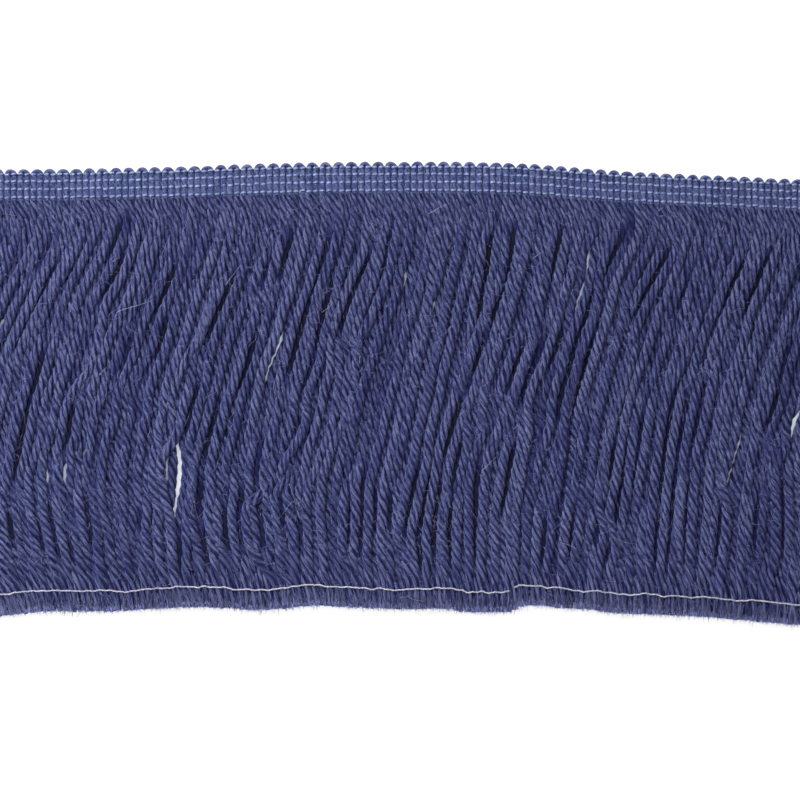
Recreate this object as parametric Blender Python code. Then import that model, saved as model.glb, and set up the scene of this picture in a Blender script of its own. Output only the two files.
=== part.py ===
"""Wool fringe trim: a cut length of crochet-knitted fringe, lying flat with its face up.

One wool yarn runs back and forth across the trim. It turns at each picot of the heading,
passes through four binding chains and goes on down as the fringe. Metres throughout:
X runs along the trim, Y across it with the heading at +Y, and Z is up.
"""
from collections import namedtuple

import bmesh
import bpy

MM = 0.001

# Yarn count: two legs make one picot, and each leg goes on as one strand
COURSE = 1.4775 * MM
PICOTS = 69
LEGS = 2 * PICOTS
TRIM_START = -92.15 * MM
TRIM_LENGTH = LEGS * COURSE

# Heading, measured up from its lower edge
PICOT_FOOT = 5.9 * MM
PICOT_RISE = 1.2 * MM
PICOT_DOME = (0.25, 0.85, 1.0, 0.85)
HEADING_HEIGHT = 2.2 * MM
HEADING_EDGE_HEIGHT = 1.3 * MM
LEG_GROOVE = 0.4 * MM
EDGE_BEVEL = 0.6 * MM
CHAIN_LINES = (0.77 * MM, 2.63 * MM, 4.37 * MM, 5.94 * MM)
CHAIN_WIDTH = 0.55 * MM
CHAIN_HEIGHT = 0.4 * MM
COURSES_PER_CHAIN_POINT = 6

# Fringe
GAP = 0.3 * MM
STRIP_WIDTH = 1.2 * MM
STRIP_HEIGHT = 1.9 * MM
STRAND_WIDTH = 2.1 * MM
STRAND_TOP_WIDTH = 1.3 * MM
STRAND_HEIGHT = 1.9 * MM
SQUEEZED = 0.47

# Holding thread, laid across the strands above their tips
THREAD_RADIUS = 0.28 * MM
THREAD_ABOVE_TIPS = 4.2 * MM
STRANDS_PER_THREAD_POINT = 2

# How the trim lies, a row every 25 mm along it, in millimetres: the heading's lower edge,
# the strands' fall from it to their tips, and their drift along X on the way down
Section = namedtuple("Section", "x edge fall quarter half late tip")
SECTIONS = (
    Section(-100.0, 43.5, 93.3, -8.6, -16.4, -19.4, -14.9),
    Section(-75.0, 43.6, 93.3, -8.6, -16.4, -19.1, -14.4),
    Section(-50.0, 43.5, 92.3, -7.2, -14.9, -17.1, -14.0),
    Section(-25.0, 44.8, 92.9, -4.8, -12.6, -15.8, -14.4),
    Section(0.0, 44.7, 92.4, -4.0, -10.0, -13.6, -13.3),
    Section(25.0, 44.8, 92.6, -3.7, -10.0, -14.9, -15.0),
    Section(50.0, 43.1, 90.9, -5.6, -12.2, -15.4, -16.8),
    Section(75.0, 41.6, 91.0, -7.0, -14.6, -17.4, -18.6),
    Section(100.0, 40.9, 91.9, -7.7, -15.8, -19.2, -20.4),
    Section(125.0, 40.8, 92.5, -7.7, -16.2, -20.6, -21.8),
)
DRIFT_SHARES = (0.0, 0.05, 0.25, 0.5, 0.75, 1.0)

# A strand from root to tip: share of its fall, size, and the height of its underside in
# millimetres, for the strands of the lower layer and for those that lie over them
Station = namedtuple("Station", "share size lower upper")
STATIONS = (
    Station(0.010, SQUEEZED, 0.45, 0.45),
    Station(0.028, SQUEEZED, 0.10, 1.50),
    Station(0.076, 1.0, 0.0, 2.3),
    Station(0.250, 1.0, 0.0, 2.3),
    Station(0.470, 1.0, 0.0, 2.3),
    Station(0.690, 1.0, 0.0, 2.3),
    Station(0.855, 1.0, 0.0, 2.3),
    Station(0.920, SQUEEZED, 0.0, 1.35),
    Station(1.000, SQUEEZED, 0.0, 0.0),
)

# Colours
WOOL = (0.043, 0.050, 0.125, 1.0)
BINDING = (0.32, 0.40, 0.72, 1.0)
CREAM = (0.72, 0.66, 0.52, 1.0)


def smooth(places, values, at):
    """The value at one place on a smooth line through the given values."""
    last = len(places) - 1
    k = min(max(sum(place <= at for place in places) - 1, 0), last - 1)

    def slope(n):
        before = max(n - 1, 0)
        after = min(n + 1, last)
        return (values[after] - values[before]) / (places[after] - places[before])

    step = places[k + 1] - places[k]
    t = (at - places[k]) / step
    start = values[k] * (1 + 2 * t) * (1 - t) ** 2
    end = values[k + 1] * (3 - 2 * t) * t ** 2
    bends = slope(k) * t * (1 - t) ** 2 - slope(k + 1) * (1 - t) * t ** 2
    return start + end + bends * step


def lie(column, x):
    """One column of the table of sections, read at x."""
    places = [section.x * MM for section in SECTIONS]
    values = [getattr(section, column) * MM for section in SECTIONS]
    return smooth(places, values, x)


def leg_x(leg):
    """Middle of a yarn leg along the trim."""
    return TRIM_START + (leg + 0.5) * COURSE


def strand_point(leg, share):
    """Place of a strand on the plan, at a share of its fall."""
    x = leg_x(leg)
    drifts = [0.0, 0.0] + [lie(name, x) for name in ("quarter", "half", "late", "tip")]
    return x + smooth(DRIFT_SHARES, drifts, share), lie("edge", x) - share * lie("fall", x)


def strand_base(leg, share):
    """Height of a strand's underside and its size, at a share of its fall."""
    k = next(n for n, station in enumerate(STATIONS) if station.share >= share)
    before = STATIONS[max(k - 1, 0)]
    after = STATIONS[k]
    t = (share - before.share) / (after.share - before.share) if k else 0.0
    layer = "upper" if leg % 2 else "lower"
    low = getattr(before, layer)
    base = low + (getattr(after, layer) - low) * t
    return base * MM, before.size + (after.size - before.size) * t


def make_material(name, colour, roughness):
    material = bpy.data.materials.new(name)
    material.use_nodes = True
    shader = material.node_tree.nodes["Principled BSDF"]
    shader.inputs["Base Color"].default_value = colour
    shader.inputs["Roughness"].default_value = roughness
    shader.inputs["Metallic"].default_value = 0.0
    return material


def make_profile(name, outline, guides):
    """A closed outline that a swept curve takes as its section."""
    data = bpy.data.curves.new(name, "CURVE")
    data.dimensions = "2D"
    ring = data.splines.new("POLY")
    ring.points.add(len(outline) - 1)
    for point, (across, up) in zip(ring.points, outline):
        point.co = (across, up, 0.0, 1.0)
    ring.use_cyclic_u = True
    profile = bpy.data.objects.new(name, data)
    profile.hide_render = True
    profile.display_type = "WIRE"
    guides.objects.link(profile)
    return profile


def make_runs(name, paths, collection):
    """A curve with one straight-sided run for each path of (x, y, z, size) points."""
    data = bpy.data.curves.new(name, "CURVE")
    data.dimensions = "3D"
    data.twist_mode = "Z_UP"
    data.use_fill_caps = True
    for path in paths:
        run = data.splines.new("POLY")
        run.points.add(len(path) - 1)
        for point, (x, y, z, size) in zip(run.points, path):
            point.co = (x, y, z, 1.0)
            point.radius = size
    runs = bpy.data.objects.new(name, data)
    collection.objects.link(runs)
    return runs


def curve_to_mesh(curve, collection):
    """Replace a swept curve by its mesh, with the caps welded on."""
    name = curve.name
    evaluated = curve.evaluated_get(bpy.context.evaluated_depsgraph_get())
    mesh = bpy.data.meshes.new_from_object(evaluated)
    bpy.data.objects.remove(curve)
    shape = bmesh.new()
    shape.from_mesh(mesh)
    bmesh.ops.remove_doubles(shape, verts=shape.verts, dist=0.00001)
    bmesh.ops.recalc_face_normals(shape, faces=shape.faces)
    shape.to_mesh(mesh)
    shape.free()
    solid = bpy.data.objects.new(name, mesh)
    collection.objects.link(solid)
    return solid


def make_heading(parts):
    """Flat-backed tape with one rib for each yarn leg and a scalloped picot edge."""
    rows = (
        (0.0, 0.0, HEADING_EDGE_HEIGHT),
        (EDGE_BEVEL, 0.0, HEADING_HEIGHT),
        (PICOT_FOOT - EDGE_BEVEL, 0.0, HEADING_HEIGHT),
        (PICOT_FOOT, PICOT_RISE, HEADING_EDGE_HEIGHT),
    )
    columns = 2 * LEGS
    shape = bmesh.new()
    bmesh.ops.create_grid(shape, x_segments=columns, y_segments=len(rows) - 1, size=0.5)
    for vert in shape.verts:
        column = round((vert.co.x + 0.5) * columns)
        across, bump, height = rows[round((vert.co.y + 0.5) * (len(rows) - 1))]
        x = TRIM_START + column * COURSE / 2
        groove = 0.0 if column % 2 else LEG_GROOVE
        vert.co.x = x
        vert.co.y = lie("edge", x) + across + bump * PICOT_DOME[column % len(PICOT_DOME)]
        vert.co.z = height - groove
    top = list(shape.faces)
    walls = bmesh.ops.extrude_face_region(shape, geom=top, use_keep_orig=True)["geom"]
    for item in walls:
        if isinstance(item, bmesh.types.BMVert):
            item.co.z = 0.0
    bmesh.ops.recalc_face_normals(shape, faces=shape.faces)
    back_verts = [vert for vert in shape.verts if vert.co.z == 0.0]
    back_edges = [edge for edge in shape.edges if all(vert.co.z == 0.0 for vert in edge.verts)]
    bmesh.ops.dissolve_limit(shape, angle_limit=0.001, verts=back_verts, edges=back_edges)
    mesh = bpy.data.meshes.new("heading")
    shape.to_mesh(mesh)
    shape.free()
    heading = bpy.data.objects.new("heading", mesh)
    parts.objects.link(heading)
    return heading


def make_chains(parts, guides):
    """Four binding chains, each a narrow ribbon along the heading's face."""
    half = CHAIN_WIDTH / 2
    outline = ((-half, 0.0), (half, 0.0), (half / 2, CHAIN_HEIGHT), (-half / 2, CHAIN_HEIGHT))
    profile = make_profile("chain_outline", outline, guides)
    chains = []
    for number, line in enumerate(CHAIN_LINES, start=1):
        places = [leg_x(leg) for leg in range(0, LEGS, COURSES_PER_CHAIN_POINT)]
        places.append(leg_x(LEGS - 1))
        path = [(x, lie("edge", x) + line, HEADING_HEIGHT + GAP, 1.0) for x in places]
        runs = make_runs(f"binding_chain_{number}", [path], parts)
        runs.data.bevel_mode = "OBJECT"
        runs.data.bevel_object = profile
        chains.append(curve_to_mesh(runs, parts))
    return chains


def make_fringe(parts, guides):
    """All strands, fused at their roots into a narrow strip below the heading."""
    half = STRAND_WIDTH / 2
    top = STRAND_TOP_WIDTH / 2
    outline = ((-half, 0.0), (half, 0.0), (top, STRAND_HEIGHT), (-top, STRAND_HEIGHT))
    paths = []
    for leg in range(LEGS):
        layer = "upper" if leg % 2 else "lower"
        path = []
        for station in STATIONS:
            x, y = strand_point(leg, station.share)
            path.append((x, y, getattr(station, layer) * MM, station.size))
        paths.append(path)
    runs = make_runs("strands", paths, guides)
    runs.data.bevel_mode = "OBJECT"
    runs.data.bevel_object = make_profile("strand_outline", outline, guides)
    strands = curve_to_mesh(runs, guides)
    strands.hide_render = True
    strands.display_type = "WIRE"

    half = STRIP_WIDTH / 2
    outline = ((-half, 0.0), (half, 0.0), (half, STRIP_HEIGHT), (-half, STRIP_HEIGHT))
    places = [TRIM_START + step * 4 * COURSE for step in range(LEGS // 4 + 1)]
    places.append(TRIM_START + TRIM_LENGTH)
    middle = GAP + STRIP_WIDTH / 2
    path = [(x, lie("edge", x) - middle, 0.0, 1.0) for x in places]
    runs = make_runs("fringe", [path], parts)
    runs.data.bevel_mode = "OBJECT"
    runs.data.bevel_object = make_profile("strip_outline", outline, guides)
    fringe = curve_to_mesh(runs, parts)
    union = fringe.modifiers.new("strands", "BOOLEAN")
    union.operation = "UNION"
    union.object = strands
    return fringe


def make_holding_thread(parts):
    """A thin thread that crosses every strand a little above its tip."""
    path = []
    for leg in range(0, LEGS, STRANDS_PER_THREAD_POINT):
        share = 1 - THREAD_ABOVE_TIPS / lie("fall", leg_x(leg))
        x, y = strand_point(leg, share)
        base, size = strand_base(leg | 1, share)
        path.append((x, y, base + STRAND_HEIGHT * size + GAP + THREAD_RADIUS, 1.0))
    runs = make_runs("holding_thread", [path], parts)
    runs.data.bevel_depth = THREAD_RADIUS
    runs.data.bevel_resolution = 1
    thread = curve_to_mesh(runs, parts)
    thread.data.shade_smooth()
    return thread


def build():
    for thing in list(bpy.data.objects):
        bpy.data.objects.remove(thing)
    parts = bpy.data.collections.new("wool_fringe_trim")
    guides = bpy.data.collections.new("guides")
    for collection in (parts, guides):
        bpy.context.scene.collection.children.link(collection)

    wool = make_material("wool_yarn", WOOL, 0.85)
    binding = make_material("binding_thread", BINDING, 0.45)
    cream = make_material("holding_thread", CREAM, 0.7)
    make_heading(parts).data.materials.append(wool)
    make_fringe(parts, guides).data.materials.append(wool)
    for chain in make_chains(parts, guides):
        chain.data.materials.append(binding)
    make_holding_thread(parts).data.materials.append(cream)


build()
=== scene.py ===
"""Looks of the wool fringe trim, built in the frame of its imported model.

The trim lies on its back. Two yarn legs of the heading are joined by a picot, and each leg
goes on as a strand of four plies. X runs along the trim, Y across it, Z is up, in metres.
"""
from collections import namedtuple

import bpy
import numpy as np
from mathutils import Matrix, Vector


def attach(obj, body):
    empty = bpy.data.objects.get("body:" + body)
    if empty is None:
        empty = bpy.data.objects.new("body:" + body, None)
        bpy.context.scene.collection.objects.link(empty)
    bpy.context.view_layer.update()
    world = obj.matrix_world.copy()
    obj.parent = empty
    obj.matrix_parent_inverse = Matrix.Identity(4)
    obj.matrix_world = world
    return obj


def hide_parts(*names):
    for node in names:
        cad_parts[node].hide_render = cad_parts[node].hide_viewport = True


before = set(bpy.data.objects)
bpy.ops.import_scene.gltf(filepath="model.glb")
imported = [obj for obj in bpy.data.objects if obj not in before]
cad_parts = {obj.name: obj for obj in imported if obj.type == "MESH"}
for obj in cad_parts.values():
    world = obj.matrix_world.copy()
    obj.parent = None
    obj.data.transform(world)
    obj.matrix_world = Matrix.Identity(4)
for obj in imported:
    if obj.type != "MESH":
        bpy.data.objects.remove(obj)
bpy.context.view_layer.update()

MM = 0.001
TURN = 2 * np.pi

# Yarn count and pitch
COURSE = 1.4775 * MM
PICOTS = 69
LEGS = 2 * PICOTS
TRIM_START = -92.15 * MM

# Yarns: their number of plies, a ply's radius and distance from the yarn's middle, the length
# of one turn, and the sides of a ply's tube
Yarn = namedtuple("Yarn", "plies radius offset turn sides")
WOOL = Yarn(4, 0.49 * MM, 0.70 * MM, 8.8 * MM, 6)
LEG_WOOL = Yarn(4, 0.60 * MM, 0.55 * MM, 8.8 * MM, 5)
CREAM = Yarn(2, 0.105 * MM, 0.085 * MM, 1.6 * MM, 5)
RINGS = 90

# How uneven yarns are: the length of their turns, how far their plies stray around them in
# radians, how thick these are and how far out they lie, and how light each yarn and ply is
TURN_SPREAD = 0.10
PLY_STRAY = 0.16
PLY_SPREAD = 0.08
YARN_TONE = 0.06
PLY_TONE = 0.05

# Colours from the darkest to the lightest tone. The wool's darkest is the painted shade in the
# closed partings, the next the painted shade in the creases
WOOL_COLOURS = (
    (0.10, (0.006, 0.007, 0.021)),
    (0.32, (0.011, 0.012, 0.080)),
    (0.60, (0.036, 0.043, 0.141)),
    (0.82, (0.084, 0.098, 0.234)),
    (1.00, (0.150, 0.165, 0.325)),
)
HEADING_COLOURS = (
    (0.30, (0.011, 0.026, 0.132)),
    (0.60, (0.051, 0.067, 0.201)),
    (0.82, (0.092, 0.112, 0.280)),
    (1.00, (0.151, 0.171, 0.342)),
)
BINDING_COLOURS = (
    (0.3, (0.020, 0.030, 0.100)),
    (0.6, (0.07, 0.11, 0.28)),
    (0.8, (0.19, 0.26, 0.52)),
    (1.0, (0.33, 0.41, 0.68)),
)
CREAM_COLOURS = (
    (0.3, (0.42, 0.40, 0.50)),
    (0.6, (0.78, 0.76, 0.86)),
    (0.9, (0.93, 0.91, 0.98)),
)

# The paper's glow, though it is no lamp, and painted shade on it from where the strands cover it
# to where it is open
FLOOR_GLOW = (
    (0.0, (0.02, 0.02, 0.03)),
    (0.12, (0.38, 0.41, 0.50)),
    (0.25, (0.60, 0.63, 0.72)),
    (0.45, (0.85, 0.85, 0.85)),
)

# Painted shade in a ply's creases: how much darker a ply is painted there, and the level of tone
# that it keeps there
CREASE_SHADE = 0.66
CREASE_LEVEL = 0.32

# The mean tone on a ply's crest, and how strongly the fibres stand out from it
CREST_LEVEL = 0.80
FIBRE_CONTRAST = 2.3

# Camera
VIEW_WIDTH = 180 * MM
CAMERA_HEIGHT = 1.2
CAMERA_Y = -1.24 * MM

# How the trim lies, a row every 25 mm along it, in millimetres: the heading's lower edge, and
# the strands' drift along X on the way down from it
Section = namedtuple("Section", "x edge quarter half late tip")
SECTIONS = (
    Section(-100.0, 43.6, -8.6, -16.4, -19.4, -14.9),
    Section(-75.0, 43.7, -8.6, -16.4, -19.1, -14.4),
    Section(-50.0, 44.2, -7.2, -14.9, -17.1, -14.0),
    Section(-25.0, 45.0, -4.8, -12.6, -15.8, -14.4),
    Section(0.0, 45.3, -4.0, -10.0, -13.6, -13.3),
    Section(25.0, 45.0, -3.7, -10.0, -14.9, -15.0),
    Section(50.0, 43.2, -5.6, -12.2, -15.4, -16.8),
    Section(75.0, 42.0, -7.0, -14.6, -17.4, -18.6),
    Section(100.0, 41.0, -7.7, -15.8, -19.2, -20.4),
    Section(125.0, 40.9, -7.7, -16.2, -20.6, -21.8),
)
DRIFT_SHARES = (0.0, 0.05, 0.25, 0.5, 0.75, 1.0)

# A strand's shape from root to tip, in millimetres: its width and height, and how near
# the middles of two strands come side by side
Girth = namedtuple("Girth", "share width height contact")
GIRTHS = (
    Girth(-0.01, 1.85, 2.0, 1.42),
    Girth(0.04, 2.1, 2.2, 1.5),
    Girth(0.13, 2.4, 2.35, 2.15),
    Girth(0.89, 2.4, 2.35, 2.15),
    Girth(0.935, 2.2, 2.0, 1.6),
    Girth(0.957, 1.95, 1.5, 1.4),
    Girth(1.00, 2.5, 1.9, 1.4),
)
START_SHARE = -0.009

# How plump strands are, from the thinnest to the thickest, and how unevenly light they are
# where they open into tufts
PLUMPNESS = (0.96, 1.12)
TUFT_TONE = 0.16

# Painted light and shade on the tufts: how light the fibres are painted on top of a tuft, and how
# much darker at its sides
TUFT_TOP_LIGHT = 1.25
TUFT_SIDE_SHADE = 0.6

# Steps in which the strands push each other apart, steps in which only gaps close, and how
# strongly a strand straightens itself in each of them
SETTLING = 260
CLOSING = 30
STIFFNESS = 0.36

# How far strands go in one step: back to their own height and place, out of each other's way
# and upwards there, to their place beside a closed parting, into gaps, and away from an open
# parting
HEIGHT_RETURN = 0.06
PLACE_RETURN = 0.03
PUSH = 0.45
LIFT = 0.5
GUIDE_PULL = 0.3
GAP_PULL = 0.3
OPENING_STEP = 0.15 * MM

# The share of its height that a strand keeps where it lies on another, and at which its middle
# lies at least, and how unevenly the strands begin to bend
NESTING = 0.68
LOWEST_MIDDLE = 0.52
BEND_SPREAD = 0.018

# How strands stray from their places: waves from strand to strand and down a strand, their
# number, and their size in millimetres
Wave = namedtuple("Wave", "across down count size")
WANDERING = (
    Wave((0.1, 0.3), (-1.5, 1.5), 9, 0.8),
    Wave((0.3, 0.7), (-1.8, 1.8), 9, 0.55),
    Wave((0.02, 0.08), (-1.0, 1.0), 5, 0.4),
)
HEIGHT_WANDERING = 0.12 * MM

# How high the upper layer lies, how far it wanders over the lower one, and the shares of the
# fall where the layers start to part and have met again
LAYER_RISE = 1.15 * MM
CROSSING = 0.8 * MM
LAYERS_PART = 0.03
LAYERS_MEET = 0.965

# The share of strand pairs that change layers, between which shares of the fall, and how fast
SWAPS = 0.35
SWAP_SHARES = (0.15, 0.85)
SWAP_LENGTH = 0.03

# The farthest that neighbours' middles may lie apart, as a share of their width and at least,
# over how many of them a gap is spread, and in how many rounds
COVER_SHARE = 0.71
COVER_LEAST = 1.6 * MM
GAP_SPREAD = 4.0
GAP_ROUNDS = 8

# How near to an open parting a gap belongs to it, and how much wider than the parting it may be
OPEN_NEAR = 1.5 * MM
OPEN_EXTRA = 0.7 * MM

# Length over which a strand comes into line with a closed parting, the share of it beyond the
# parting's ends, and how much farther away a strand counts that is guided already
GUIDE_RAMP = 6.0 * MM
GUIDE_LEAD = 0.8
GUIDED_AWAY = 3.0 * MM

# How far partings bow sideways, how far past their ends they act as a share of their length,
# how near the strands are that give way to an open one, and the part of their width they keep
PARTING_BOW = 0.3 * MM
PARTING_PAST = 0.1
PARTING_REACH = 6.0 * MM
PARTING_ROOM = 1.12

# Painted shade on the lower layer: how much darker than the upper layer it is painted, at least
# and at most, and how much darker again in the partings
DEEP_SHADE = (0.0, 0.24)
PARTING_SHADE = 0.8

# The width from which a parting gets all of that shade, and over what distance and what share
# of its length the shade fades
WIDE_PARTING = 0.85
SHADE_FADE = 1.1 * MM
SHADE_ENDS = 0.25

# The twist eases towards the tips: the shares of the fall where that starts and ends, and
# what is left of it; from a share between them on, the plies open
TWIST_EASES = (0.885, 0.97)
TWIST_LEFT = 0.12
PLIES_OPEN = 0.955

# How unevenly long the plies end, how far they lean, how much fainter the painted shade in their
# creases gets, and how much their ends taper
TIP_SPREAD = 0.09 * MM
TIP_LEAN = 0.16 * MM
TIP_CREASES = 0.15
END_TAPER = 0.15

# Painted light at the very tips: how much lighter the strands are painted there, and the share of
# the fall where that begins
TIP_LIGHT = 0.55
TIP_LIGHT_FROM = 0.976

# Places where the strands part, in millimetres: the parting's upper and lower end, and its
# width. The open ones show the surface that the trim lies on.
Parting = namedtuple("Parting", "x_top y_top x_low y_low width")
OPEN_PARTINGS = [Parting(*row) for row in (
    (-49.7, -12.4, -50.3, -26.8, 0.75), (-52.6, -13.0, -53.2, -20.0, 0.35),
    (-75.1, -14.8, -76.0, -20.2, 1.0), (-79.3, -17.2, -78.9, -20.4, 0.4),
    (-71.1, -11.3, -71.6, -14.6, 0.5), (-25.4, 14.1, -31.1, 3.3, 0.4),
    (89.1, -3.3, 87.5, -9.8, 0.8), (77.0, -9.0, 72.5, -23.0, 0.4),
    (42.8, 33.0, 42.0, 28.0, 0.35), (41.4, 25.5, 37.8, 16.0, 0.22),
    (-89.0, 18.2, -90.2, 14.4, 0.7), (1.1, 28.0, 0.7, 23.5, 0.3),
    (7.9, 22.2, 7.2, 18.6, 0.25), (-21.4, -20.6, -21.2, -23.0, 0.3),
    (-10.1, -15.6, -9.5, -18.1, 0.3),
)]
CLOSED_PARTINGS = [Parting(*row) for row in (
    (-88.0, -27.0, -87.5, -33.0, 1.0), (-76.5, 31.0, -82.5, 18.5, 0.6),
    (-83.5, 17.5, -87.5, 9.5, 0.5), (-83.5, -1.0, -87.5, -19.0, 0.9),
    (-81.5, -27.5, -80.0, -36.0, 0.6), (-80.0, 10.0, -83.5, -1.0, 0.8),
    (-77.5, 37.0, -81.5, 28.0, 0.5), (-79.0, -25.5, -77.0, -36.5, 0.5),
    (-74.0, -2.0, -76.0, -13.5, 0.9), (-74.5, -32.0, -73.5, -36.5, 0.7),
    (-71.0, -22.5, -69.5, -35.5, 0.6), (-58.5, -26.5, -58.5, -31.5, 0.4),
    (-62.0, 31.5, -67.5, 21.0, 0.8), (-60.0, 14.0, -62.0, 7.0, 0.6),
    (-61.5, 40.5, -66.0, 30.0, 0.8), (-50.0, 29.5, -55.5, 17.5, 0.9),
    (-52.5, 17.0, -55.0, 8.5, 0.9), (-50.0, -31.5, -50.0, -41.0, 0.7),
    (-45.5, -18.5, -47.0, -32.0, 0.9), (-44.0, -29.5, -43.5, -38.5, 0.8),
    (-40.5, -2.0, -45.5, -15.5, 0.8), (-45.0, 2.0, -47.5, -8.0, 0.7),
    (-40.0, -25.0, -39.0, -35.5, 0.75), (-36.9, 28.0, -45.0, 11.5, 1.2),
    (-35.0, -20.5, -34.5, -35.0, 1.0), (-31.5, 13.5, -36.5, 0.5, 0.9),
    (-29.5, 30.5, -31.5, 24.0, 0.6), (-31.5, -10.0, -31.7, -20.5, 0.6),
    (-31.5, -21.5, -30.0, -35.0, 0.65), (-25.0, 37.5, -27.0, 26.5, 0.8),
    (-27.5, -22.5, -27.0, -30.0, 0.5), (-22.0, -28.5, -22.0, -35.0, 0.55),
    (-21.5, -4.5, -23.5, -10.0, 0.6), (-20.0, 22.0, -25.0, 3.5, 1.0),
    (-15.5, 25.5, -19.5, 10.0, 0.8), (-19.0, 9.0, -23.0, -1.5, 0.6),
    (-13.5, 38.5, -19.5, 23.0, 0.7), (-11.5, -23.5, -12.0, -34.5, 0.6),
    (-8.0, -16.0, -9.0, -36.0, 0.8), (-6.0, -21.5, -6.0, -31.0, 0.65),
    (-2.0, -22.5, -2.5, -30.5, 0.75), (-6.5, 32.0, -14.5, 14.0, 0.8),
    (-1.5, 39.5, -4.0, 26.5, 0.7), (5.0, -16.0, 0.5, -32.0, 0.8),
    (7.5, -15.5, 3.5, -32.0, 1.0), (4.0, -33.0, 4.5, -40.0, 0.75),
    (9.0, -19.5, 8.0, -36.0, 1.0), (14.0, -11.0, 11.5, -22.5, 0.9),
    (11.5, -22.5, 11.5, -38.0, 0.9), (15.0, 1.0, 9.5, -15.5, 1.0),
    (18.5, 23.5, 18.0, 16.0, 0.9), (17.5, -15.0, 17.0, -37.5, 0.8),
    (20.0, 36.0, 18.5, 23.5, 0.9), (24.0, 25.5, 15.0, 2.0, 1.0),
    (26.0, 38.0, 24.0, 26.0, 0.8), (26.0, -10.5, 22.5, -27.0, 0.9),
    (28.5, 12.5, 24.0, 0.0, 0.7), (31.5, 12.5, 26.0, -2.0, 0.7),
    (32.5, -27.5, 31.5, -38.5, 0.75), (36.5, 38.0, 34.0, 25.5, 0.9),
    (37.5, 15.0, 34.5, 7.0, 1.1), (40.0, 12.5, 36.0, -6.0, 0.8),
    (39.5, -25.0, 38.0, -36.5, 0.65), (43.5, 12.5, 39.0, -3.5, 0.8),
    (45.0, 26.5, 39.5, 11.5, 0.8), (45.0, -26.5, 43.5, -33.5, 0.7),
    (48.5, -11.0, 45.0, -26.0, 1.1), (51.0, -12.0, 48.0, -32.0, 0.7),
    (48.0, -32.5, 46.0, -38.5, 0.6), (52.5, 39.5, 45.0, 25.5, 0.9),
    (55.0, -2.0, 52.0, -23.5, 0.6), (58.5, -26.0, 57.5, -39.0, 0.55),
    (61.5, 33.5, 52.0, 17.0, 0.8), (61.5, -1.0, 58.5, -21.5, 0.75),
    (62.5, -16.0, 60.0, -39.5, 0.6), (65.0, 25.5, 62.5, 19.0, 0.6),
    (65.0, -0.5, 62.0, -15.0, 0.6), (69.0, 3.0, 65.0, -16.5, 0.65),
    (65.0, -17.0, 64.0, -39.0, 0.6), (72.5, -24.5, 71.0, -38.5, 0.6),
    (77.5, 30.0, 73.0, 20.0, 0.9), (81.0, -22.5, 79.5, -35.5, 0.55),
    (83.0, 32.5, 77.0, 18.0, 0.9), (85.5, 2.0, 82.0, -8.0, 0.8),
    (87.5, 12.0, 85.5, 2.5, 0.6), (85.5, -17.0, 86.5, -36.0, 0.6),
)]

# Where the strands' tips end, in millimetres
Place = namedtuple("Place", "x y")
TIPS = [Place(*row) for row in (
    (-110.0, -50.9), (-89.0, -49.7), (-80.0, -48.8), (-66.0, -48.8), (-57.0, -48.3),
    (-46.0, -47.8), (-38.0, -48.1), (-33.0, -48.5), (-26.0, -48.1), (-20.0, -47.5),
    (-10.0, -47.9), (1.0, -48.3), (10.0, -48.2), (14.6, -48.9), (19.0, -49.0),
    (23.6, -48.9), (26.0, -48.1), (28.0, -47.4), (32.6, -47.6), (37.0, -48.1),
    (42.0, -48.3), (48.0, -49.1), (57.0, -49.5), (68.0, -50.0), (80.0, -51.0),
    (89.0, -51.8), (110.0, -53.0),
)]

# Heading, measured up from its lower edge
HEADING_MIDDLE = 1.2 * MM
LEG_FOOT = 0.2 * MM
PICOT_CENTRE = 5.95 * MM
PICOT_HALF = 0.80 * MM
PICOT_RISE = 0.70 * MM

# The yarn's width and height in the legs, what they lose in the picots, and what the height
# loses under a chain, in millimetres
LEG_SIZE = (1.92, 2.1)
PICOT_LOSS = (0.75, 0.35)
TIED_LOSS = 0.3

# The heading's tone, and the painted shade in the slits between legs and inside picots: how much
# darker it is there
HEADING_TONE = 1.1
SLIT_SHADE = 0.2
PICOT_SHADE = 0.4

# Binding chains, in millimetres above the heading's lower edge
CHAIN_LINES = (0.77, 2.63, 4.37, 5.94)
CHAIN_STEPS = 7
STITCH_RADIUS = 0.25 * MM
STITCH_SLANT = 0.22 * MM
STITCH_HIGH = 2.3 * MM
STITCH_LOW = 1.2 * MM
LOOP_RADIUS = 0.17 * MM
LOOP_BELOW = 0.38 * MM
LOOP_HIGH = 2.15 * MM
LOOP_LOW = 1.4 * MM
THREAD_SIDES = 5
BACK_HEIGHT = 0.18 * MM

# Length of one turn of the binding thread, in millimetres
BINDING_TURN = 0.5

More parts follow.
